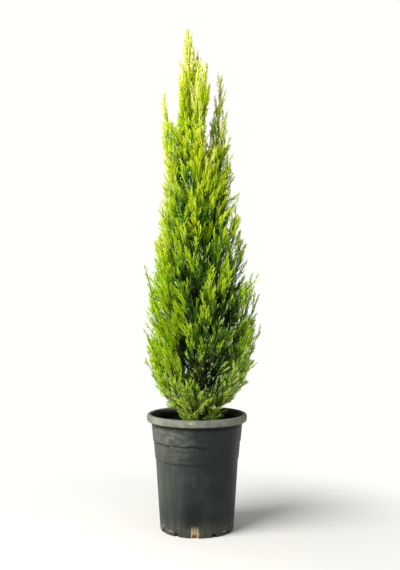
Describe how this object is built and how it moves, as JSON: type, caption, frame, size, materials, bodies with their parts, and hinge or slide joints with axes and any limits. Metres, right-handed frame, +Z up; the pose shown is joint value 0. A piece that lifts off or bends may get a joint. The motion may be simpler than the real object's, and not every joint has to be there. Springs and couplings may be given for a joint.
{
  "type": "potted conifer sapling",
  "caption": "Young lemon cypress: a slender trunk with tiers of boughs and upright plumes of fine yellow-green needles, in a dark round nursery pot with a rolled rim and drain notches.",
  "frame": {"origin": "centre of the pot's flat underside", "axes": "+Z up along the pot's axis, -Y towards the viewer of the picture, +X to that viewer's right"},
  "size_m": [0.2854, 0.2883, 1.196],
  "materials": {
    "pot_plastic": "satin",
    "potting_soil": "rough",
    "bark": "rough",
    "foliage": "matte"
  },
  "bodies": {
    "root": {"pot": "pot_plastic", "soil": "potting_soil", "trunk": "bark", "skirt_bough_1": "bark", "skirt_plume_1": "foliage", "skirt_bough_2": "bark", "skirt_plume_2": "foliage", "skirt_bough_3": "bark", "skirt_plume_3": "foliage", "skirt_bough_4": "bark", "skirt_plume_4": "foliage", "skirt_bough_5": "bark", "skirt_plume_5": "foliage", "skirt_bough_6": "bark", "skirt_plume_6": "foliage", "lower_bough_1": "bark", "lower_plume_1": "foliage", "lower_bough_2": "bark", "lower_plume_2": "foliage", "lower_bough_3": "bark", "lower_plume_3": "foliage", "lower_bough_4": "bark", "lower_plume_4": "foliage", "lower_bough_5": "bark", "lower_plume_5": "foliage", "middle_bough_1": "bark", "middle_plume_1": "foliage", "middle_bough_2": "bark", "middle_plume_2": "foliage", "middle_bough_3": "bark", "middle_plume_3": "foliage", "middle_bough_4": "bark", "middle_plume_4": "foliage", "upper_bough_1": "bark", "upper_plume_1": "foliage", "upper_bough_2": "bark", "upper_plume_2": "foliage", "upper_bough_3": "bark", "upper_plume_3": "foliage", "upper_bough_4": "bark", "upper_plume_4": "foliage", "spire_bough_1": "bark", "spire_plume_1": "foliage", "spire_bough_2": "bark", "spire_plume_2": "foliage", "spire_bough_3": "bark", "spire_plume_3": "foliage", "spire_bough_4": "bark", "spire_plume_4": "foliage", "crest_bough_1": "bark", "crest_plume_1": "foliage", "crest_bough_2": "bark", "crest_plume_2": "foliage", "crest_bough_3": "bark", "crest_plume_3": "foliage", "crest_bough_4": "bark", "crest_plume_4": "foliage", "leader_plume_1": "foliage"}
  },
  "joints": []
}
